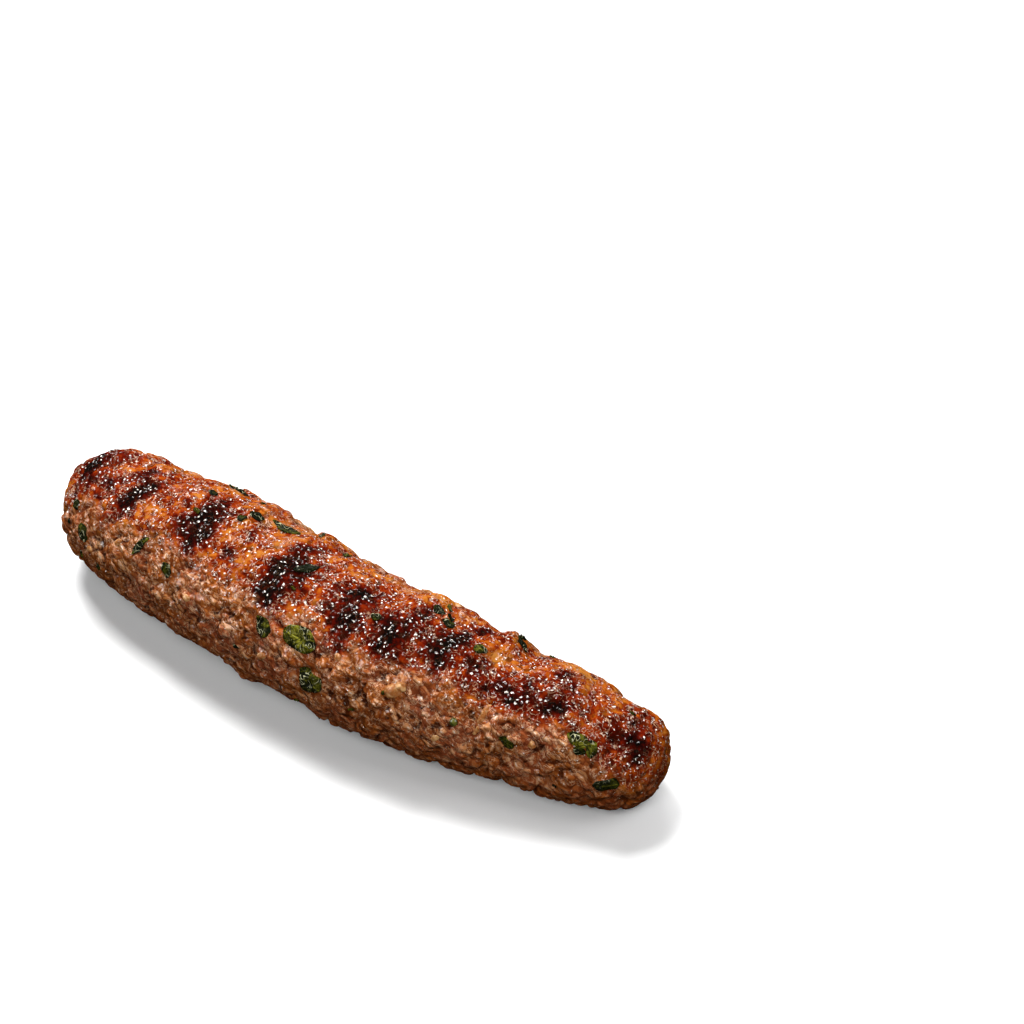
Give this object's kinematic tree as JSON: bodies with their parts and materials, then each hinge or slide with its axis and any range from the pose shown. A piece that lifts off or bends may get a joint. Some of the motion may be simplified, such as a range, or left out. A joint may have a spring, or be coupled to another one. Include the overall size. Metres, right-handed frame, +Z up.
{
  "type": "grilled kofta",
  "caption": "Long hand-pressed roll of grilled seasoned mince with blunt rounded ends and an uneven ridged surface, lying on its underside; served as food.",
  "frame": {"origin": "middle of the roll's box, on the plane that its underside rests on", "axes": "+X along the roll, +Z up from the underside, +Y across the roll"},
  "size_m": [0.1552, 0.0378, 0.0322],
  "materials": {
    "grilled_mince": "satin"
  },
  "bodies": {
    "root": {"kofta": "grilled_mince"}
  },
  "joints": []
}
